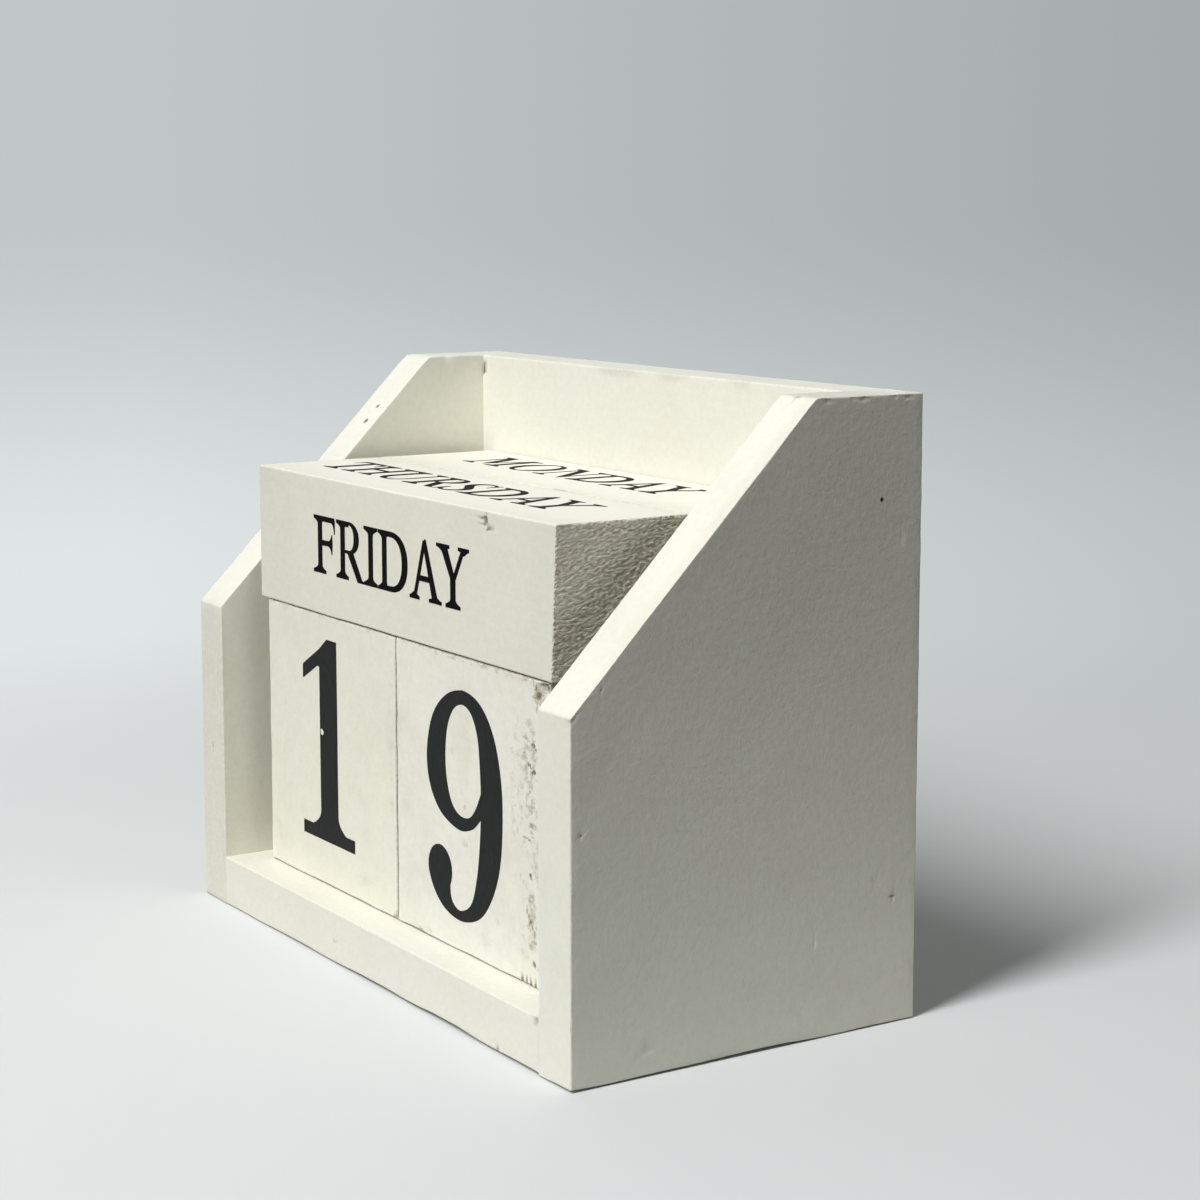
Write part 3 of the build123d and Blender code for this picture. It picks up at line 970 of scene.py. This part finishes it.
# figures, in millimetres from the lower left corner of a block's face
figures = {
    "0": ring(25, 25, (13, 19.7), (6, 17.4)),
    "1": [
        stem(21, 27.9, (7.1, 6.4), (0, 0), 8.2, 40, 2.4, 3, 0.45),
        [(27.9, 45.6), (24, 45.6), (20.9, 43.4), (14.5, 39.9), (14.3, 39.5), (14.3, 37.4),
         (14.5, 37.2), (20.3, 40.3), (21, 40.1), (21, 38), (27.9, 38)],
    ],
    "2": [
        dot(16.6, 34.6, 4.1),
        ribbon([(12.5, 34.4), (13.6, 39.4), (18.2, 43.6), (24.6, 44.8), (32, 42.4), (35.6, 35.2),
                (33.2, 27.2), (27.4, 20.2), (21.6, 14.2), (17.4, 8.6)],
               [(20.6, 35.2), (19, 38.6), (20, 41.4), (23, 42.6), (26.8, 40.8), (28.4, 35.2),
                (26.6, 28.4), (22.2, 21.6), (16.8, 14.8), (12, 8.6)]),
        [(12, 8.7), (12, 6), (35.4, 6), (37.6, 16), (36.2, 16), (34.4, 13), (31.6, 12.2),
         (16, 12.2)],
    ],
    "3": [
        dot(16.2, 36.4, 3.8),
        dot(15.6, 13.6, 3.9),
        ribbon([(12.4, 36.2), (14.4, 41.2), (19, 44.2), (24.4, 44.9), (31.4, 42.6), (34.4, 36.6),
                (31.8, 30.4), (25.4, 26.6), (20.6, 26)],
               [(19.6, 37.6), (18.8, 40.6), (20.6, 42.6), (23.4, 42.8), (26.8, 40.8), (28, 36.2),
                (26.6, 31), (23.6, 28), (20.6, 27.6)]),
        ribbon([(20.6, 27.8), (27, 27.4), (33.6, 24), (36.6, 17.4), (34.2, 10.2), (28.4, 6),
                (21.4, 5.2), (14.8, 7.6), (11.8, 13)],
               [(20.6, 26.2), (24.6, 25.2), (28, 22), (29.2, 17), (28, 11.4), (24.8, 7.8),
                (21.4, 7.2), (18.6, 8.8), (18.6, 12)]),
    ],
    "4": [
        stem(25.4, 32, (4.6, 4), (0, 0), 6, 44.6, 1.5, 3),
        [(25.4, 44.6), (28, 44.6), (28, 39), (15, 19.4), (11.6, 17.4), (11.4, 19.2)],
        slab(11.4, 38, 14.6, 19.4),
    ],
    "5": [
        [(16.6, 44.4), (33, 44.4), (35.2, 45.4), (33.6, 38.2), (17.6, 38.2), (16.6, 31), (15, 24.6),
         (13.6, 25.2), (15.4, 33)],
        ribbon([(13.6, 25.2), (18.6, 29.4), (25.2, 30.6), (32.2, 28.2), (36.4, 21.6), (35.8, 13.8),
                (31, 7.6), (23.2, 5.2), (15.4, 7), (11.8, 12.4)],
               [(15.2, 24.4), (18.8, 27.2), (23.4, 27.4), (27.2, 24.8), (29, 19.8), (28.6, 13.2),
                (26, 8.8), (21.8, 7.2), (18.6, 8.8), (18.8, 12.4)]),
        dot(15.6, 13.4, 3.9),
    ],
    "7": [
        [(12, 33.4), (13.6, 33.2), (15.6, 37), (18.6, 38.2), (33.6, 38.2), (36.8, 44.4), (14, 44.4)],
        ribbon([(31.6, 39.4), (25.6, 29.4), (20.6, 19), (18.2, 10.6), (17.8, 6)],
               [(34.4, 39.4), (30.4, 30.4), (27.6, 20.8), (26.2, 12.4), (25.8, 6)]),
    ],
    "8": [
        *ring(25.2, 35.4, (10.6, 9.4), (6.6, 7.6), -0.4),
        *ring(24.8, 16.2, (12.4, 11), (7.8, 9), 0.6),
        ribbon([(19.2, 38.4), (20.2, 33.4), (25, 29.2), (31, 24.2), (34.4, 17.6)],
               [(14.9, 34.6), (17.4, 28), (23.2, 24), (28, 19.8), (33.8, 12)]),
    ],
    "9": [
        ribbon([(23.6, 44.4), (17.6, 42.9), (12.9, 38.8), (10.8, 32.6), (11.6, 27), (15.2, 22.7),
                (21.2, 20.75), (25.6, 21.5), (28.3, 23.4), (29.6, 24.9)],
               [(23.6, 42), (20.2, 41), (17.9, 37.6), (17.1, 32.6), (17.7, 27.9), (19.6, 24.4),
                (22.8, 23.1), (26.2, 24.3), (29.6, 30)]),
        ribbon([(22.4, 44.4), (28.2, 43.2), (32.4, 39.3), (34.9, 33.2), (35.7, 26), (34.9, 17.6),
                (32.3, 11.4), (28.2, 7.1), (22.2, 5.3), (16.4, 6.3), (12.6, 9.2), (11, 12.9)],
               [(22.4, 42), (25.6, 41), (27.7, 37.6), (28.5, 32.6), (28.8, 26), (28.3, 19.2),
                (27.3, 13.6), (25.4, 8.9), (21.7, 7), (18.9, 8.3), (18.5, 11.4), (19.1, 13.6)]),
        dot(15.05, 12.85, 4.05),
    ],
}

inkFilm = {"proud": 0.02 * mm, "sunk": 0.12 * mm}


def printOn(name, outlines, chips, corner, right, up, ink, body):
    # the outlines are merged by a constrained triangulation, less the chips, and given the
    # thickness of the film: its face stands proud of the paint and its back lies under it
    shapes = [np.array(shape, float) for shape in list(outlines) + list(chips)]
    firsts = np.cumsum([0] + [len(shape) for shape in shapes])
    faces = []
    for shape, first in zip(shapes, firsts):
        x, y = shape.T
        area = (x * np.roll(y, -1) - np.roll(x, -1) * y).sum()
        order = range(len(shape)) if area > 0 else range(len(shape) - 1, -1, -1)
        faces.append([int(first) + i for i in order])
    flat = [Vector(point) for point in np.vstack(shapes)]
    found = geometry.delaunay_2d_cdt(flat, [], faces, 1, 1e-5)
    holes = set(range(len(outlines), len(shapes)))
    kept = [tri for tri, source in zip(found[2], found[5]) if source and not holes & set(source)]
    tris = np.array(kept)
    plane = np.array([tuple(point) for point in found[0]]) * mm
    right, up = np.array(right, float), np.array(up, float)
    outwards = np.cross(right, up)
    face = np.array(corner) + plane[:, :1] * right + plane[:, 1:] * up
    points = np.vstack([face + inkFilm["proud"] * outwards, face - inkFilm["sunk"] * outwards])
    edges = np.concatenate([tris[:, [0, 1]], tris[:, [1, 2]], tris[:, [2, 0]]])
    _, index, count = np.unique(
        np.sort(edges, axis=1), axis=0, return_index=True, return_counts=True
    )
    rim = edges[index[count == 1]]
    back = len(plane)
    walls = np.vstack([
        np.stack([rim[:, 0], rim[:, 0] + back, rim[:, 1] + back], 1),
        np.stack([rim[:, 0], rim[:, 1] + back, rim[:, 1]], 1),
    ])
    allTris = np.vstack([tris, tris[:, ::-1] + back, walls])
    used, number = np.unique(allTris, return_inverse=True)
    piece = makePiece(name, points[used], number.reshape(-1, 3), {}, ink, body, None)
    piece.data.polygons.foreach_set("use_smooth", np.zeros(len(allTris), bool))


def spell(text):
    outlines = []
    place = 0.0
    for letter in text:
        advance, shapes = letters[letter]
        outlines += [np.array(shape) + (place, 0) for shape in shapes]
        place += advance
    return outlines


# the four long faces of a bar as it is rolled towards the reader: (right, up) of each
barFaces = {
    "front": ((1, 0, 0), (0, 0, 1)),
    "top": ((1, 0, 0), (0, 1, 0)),
    "rear": ((1, 0, 0), (0, 0, -1)),
    "bottom": ((1, 0, 0), (0, -1, 0)),
}
blockFaces = {
    **barFaces,
    "left": ((0, -1, 0), (0, 0, 1)),
    "right": ((0, 1, 0), (0, 0, 1)),
}


def faceCorner(node, right, up):
    # the lower left corner of the face that has these directions
    low, high = (np.array(corner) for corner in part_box(node))
    right, up = np.array(right), np.array(up)
    lean = np.cross(right, up) - right - up
    return np.where(lean > 0, high, low)


def printName(bar, body, face, text, start, base):
    # start and base are the name's left end and foot, from the face's lower left corner
    right, up = barFaces[face]
    outlines = [shape + (start, base) for shape in spell(text)]
    printOn(text.lower() + "Print", outlines, [], faceCorner(bar, right, up), right, up, nameInk,
            body)


def printFigure(block, face, figure, missing):
    right, up = blockFaces[face]
    name = block.split("_")[0] + face.capitalize() + "Print"
    printOn(name, figures[figure], missing, faceCorner(block, right, up), right, up, figureInk,
            block)


printName("front_weekday_bar", "front_bar", "front", "FRIDAY", 22.5, 7.6)
printName("front_weekday_bar", "front_bar", "top", "THURSDAY", 7.0, 8.7)
printName("front_weekday_bar", "front_bar", "rear", "WEDNESDAY", 4.5, 7.4)
printName("front_weekday_bar", "front_bar", "bottom", "TUESDAY", 17.0, 7.6)
printName("rear_weekday_bar", "rear_bar", "top", "MONDAY", 14.5, 10.1)
printName("rear_weekday_bar", "rear_bar", "front", "SATURDAY", 9.0, 7.6)
printName("rear_weekday_bar", "rear_bar", "rear", "SUNDAY", 20.0, 7.4)

# the tens block's figure in front is chipped
stemChip = [(21.1, 28.6), (21.3, 27.8), (22.1, 27.7), (22.5, 28.2), (22.2, 28.7), (21.6, 28.9)]
chips = {("tens_block", "front"): [stemChip]}
for block, shown in (("tens_block", "124305"), ("units_block", "907812")):
    for face, figure in zip(("front", "top", "rear", "bottom", "left", "right"), shown):
        printFigure(block, face, figure, chips.get((block, face), []))
print("figures and names printed")


viewLook = {
    "place": (377.3, -228.2, 133.4),
    "towards": (-0.83377, 0.53696, -0.12847),
    "lens": 76.0,
    "sensor": 36.0,
    "shift": -0.06,
    "nearest": 0.01,
}

camera = bpy.data.cameras.new("camera")
camera.lens = viewLook["lens"]
camera.sensor_width = viewLook["sensor"]
camera.shift_y = viewLook["shift"]
camera.clip_start = viewLook["nearest"]
cameraObject = addObject("camera", camera, Vector(viewLook["place"]) * mm, viewLook["towards"])
bpy.context.scene.camera = cameraObject

stageLook = {
    # painted shade: the paper is darker to the right
    "leftPaper": (0.725, 0.737, 0.742, 1),
    "rightPaper": (0.632, 0.656, 0.660, 1),
    "across": (-0.10, 0.16),  # where the one gives way to the other, in metres
    "nearBounce": (0.51, 0.52, 0.50, 1),  # what the object gets back from the paper beside it
    "farBounce": (0.03, 0.03, 0.03, 1),
    "bounceReach": (0.085, 0.20),
    "blend": (0.14, 0.38),  # where the paper gives way to the backdrop
    "grain": (0.6, 0.62, 0.62, 1),
    "grainSize": 60.0,
    "grainShare": 0.03,
    "roughness": 0.75,
    "sheen": 0.1,
    "farGlow": 0.15,  # light that the backdrop part throws back
    "half": 40.0,
}
backdropLook = {
    "right": (0.541, 0.841, 0.0),  # the way in which the backdrop darkens sideways
    "across": (-0.17, 0.23),
    "height": (-0.15, 0.0),
    # painted shade: the glowing backdrop darker to the right and upwards
    "lowLeft": (0.752, 0.799, 0.799, 1),
    "lowRight": (0.53, 0.565, 0.565, 1),
    "highLeft": (0.533, 0.565, 0.584, 1),
    "highRight": (0.381, 0.413, 0.413, 1),
    "stand": (0.133, 0.46),  # height and distance at which the floor meets it
}
lightLook = {
    "keyFrom": (0.312, -1.145, 1.485),
    "keyTarget": (0, 0, 0.05),
    "keySize": (0.46, 1.42),
    "keyPower": 37.3,
    "ambient": (0.97, 1.0, 0.965, 1),
    "ambientStrength": (0.05, 0.48),  # level with the floor, and overhead
    "ambientFall": (1.35, 0.02),  # its share from the left and from the right
    "ambientRear": (0.85, 1.2),  # and from the front and from the rear
}


def smoothRamp(tree, value, ends):
    settings = {"interpolation_type": "SMOOTHSTEP"}
    return addNode(tree, "MapRange", settings, i0=value, i1=ends[0], i2=ends[1]).outputs[0]


def backdropColour(tree, across, height):
    # the backdrop's colour by how far right and how high one looks, both as slopes
    rise = smoothRamp(tree, height, backdropLook["height"])
    left = mix(tree, rise, backdropLook["lowLeft"], backdropLook["highLeft"])
    right = mix(tree, rise, backdropLook["lowRight"], backdropLook["highRight"])
    return mix(tree, ramp(tree, across, *backdropLook["across"]), left, right)


def acrossOf(tree, where):
    # how far right a point or direction lies
    settings = {"operation": "DOT_PRODUCT"}
    return addNode(tree, "VectorMath", settings, i0=where, i1=backdropLook["right"]).outputs[1]


def makeFloor():
    # paper, darker to the right as painted shade, whose colour gives way to the backdrop's glow with
    # distance from the object, and which throws less light back from further out
    material, tree, coords = newMaterial("floorPaper")
    distance = addNode(tree, "VectorMath", {"operation": "LENGTH"}, i0=coords).outputs[1]
    sideways = acrossOf(tree, coords)
    share = ramp(tree, sideways, *stageLook["across"])
    paper = mix(tree, share, stageLook["leftPaper"], stageLook["rightPaper"])
    fine = ramp(tree, noise(tree, coords, stageLook["grainSize"], 5.0, 0.55), 0.3, 0.7, 0.0,
                stageLook["grainShare"])
    paper = mix(tree, fine, paper, stageLook["grain"])
    bounce = mix(tree, smoothRamp(tree, distance, stageLook["bounceReach"]), stageLook["nearBounce"],
                 stageLook["farBounce"])
    thrown = addNode(tree, "LightPath").outputs["Is Diffuse Ray"]
    lit = addNode(tree, "BsdfPrincipled", Base_Color=mix(tree, thrown, paper, bounce),
                  Roughness=stageLook["roughness"], Specular_IOR_Level=stageLook["sheen"])
    height, depth = backdropLook["stand"]
    reach = reckon(tree, "ADD", distance, depth)
    across, down = reckon(tree, "DIVIDE", sideways, reach), reckon(tree, "DIVIDE", -height, reach)
    colour = backdropColour(tree, across, down)
    glow = ramp(tree, thrown, 0.0, 1.0, 1.0, stageLook["farGlow"])
    unlit = addNode(tree, "Emission", Color=colour, Strength=glow)
    far = smoothRamp(tree, distance, stageLook["blend"])
    addNode(tree, "OutputMaterial", Surface=addNode(tree, "MixShader", i0=far, i1=lit, i2=unlit))
    half = stageLook["half"]
    corners = [(-half, -half, 0), (half, -half, 0), (half, half, 0), (-half, half, 0)]
    mesh = bpy.data.meshes.new("floor")
    mesh.from_pydata(corners, [], [(0, 1, 2, 3)])
    mesh.materials.append(material)
    floor = addObject("floor", mesh)


def makeWorld():
    # plain ambient light, and behind the object a pale glowing backdrop, with painted shade that
    # darkens it upwards and to the right
    world = bpy.data.worlds.new("room")
    bpy.context.scene.world = world
    world.use_nodes = True
    tree = world.node_tree
    tree.nodes.clear()
    direction = addNode(tree, "TexCoord").outputs["Generated"]
    height = addNode(tree, "SeparateXYZ", Vector=direction).outputs["Z"]
    colour = backdropColour(tree, acrossOf(tree, direction), height)
    seen = addNode(tree, "Background", Color=colour, Strength=1.0)
    strength = ramp(tree, height, 0.0, 1.0, *lightLook["ambientStrength"])
    for axis, fall in (("X", "ambientFall"), ("Y", "ambientRear")):
        along = addNode(tree, "SeparateXYZ", Vector=direction).outputs[axis]
        strength = reckon(tree, "MULTIPLY", strength, ramp(tree, along, -1.0, 1.0, *lightLook[fall]))
    unseen = addNode(tree, "Background", Color=lightLook["ambient"], Strength=strength)
    rays = addNode(tree, "LightPath").outputs
    shown = reckon(tree, "MAXIMUM", rays["Is Camera Ray"], rays["Is Glossy Ray"])
    shown = reckon(tree, "MAXIMUM", shown, rays["Is Transmission Ray"])
    addNode(tree, "OutputWorld", Surface=addNode(tree, "MixShader", i0=shown, i1=unseen, i2=seen))


def makeKey():
    lamp = bpy.data.lights.new("key", "AREA")
    lamp.shape = "ELLIPSE"
    lamp.size, lamp.size_y = lightLook["keySize"]
    lamp.energy = lightLook["keyPower"]
    place = Vector(lightLook["keyFrom"])
    addObject("key", lamp, place, Vector(lightLook["keyTarget"]) - place)


makeFloor()
makeWorld()
makeKey()
bpy.context.scene.view_settings.view_transform = "Standard"
print("stage, camera and light made")
